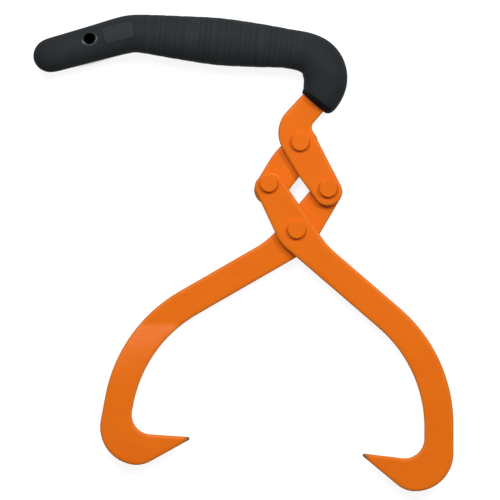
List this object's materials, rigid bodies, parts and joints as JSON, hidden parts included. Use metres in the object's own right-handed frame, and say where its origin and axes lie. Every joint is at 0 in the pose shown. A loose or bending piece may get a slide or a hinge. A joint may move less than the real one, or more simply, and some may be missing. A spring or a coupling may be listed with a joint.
{
  "type": "log lifting tongs",
  "caption": "Scissor-action log tongs with a bent black moulded grip, a riveted orange steel linkage and inward-pointing hooked arms.",
  "frame": {"origin": "centre of the main rivet's flat head, on the main pivot's axis", "axes": "+Z along the rivets towards their heads, +Y from the main pivot towards the grip, -Y towards the hooks, +X towards the grip's heel"},
  "size_m": [0.2946, 0.3346, 0.0296],
  "materials": {
    "orange_paint": "semi-gloss orange powder coat over steel, rivets painted over",
    "grip_black": "satin black moulding with fine transverse rings on the palm part"
  },
  "bodies": {
    "handle": {"grip": "grip_black", "handle_plate": "orange_paint", "upper_rivet": "orange_paint", "right_rivet": "orange_paint"},
    "left_arm": {"left_hook_arm": "orange_paint", "main_rivet": "orange_paint"},
    "link": {"link": "orange_paint"},
    "right_arm": {"right_hook_arm": "orange_paint", "left_rivet": "orange_paint"}
  },
  "joints": [
    {"name": "left_arm_swing", "type": "hinge", "parent": "handle", "child": "left_arm", "pos_m": [0.02206, 0.02896, -0.00825], "axis": [0, 0, -1], "range_deg": [-28, 55]},
    {"name": "link_swing", "type": "hinge", "parent": "handle", "child": "link", "pos_m": [0.00249, 0.06153, -0.00825], "axis": [0, 0, -1], "range_deg": [-28, 55]},
    {"name": "arm_scissor", "type": "hinge", "parent": "left_arm", "child": "right_arm", "pos_m": [0, 0, -0.00825], "axis": [0, 0, 1], "range_deg": [-28, 55]}
  ],
  "couplings": [
    {"joint": "link_swing", "follows": "left_arm_swing", "ratio": 1},
    {"joint": "arm_scissor", "follows": "left_arm_swing", "ratio": 1}
  ]
}
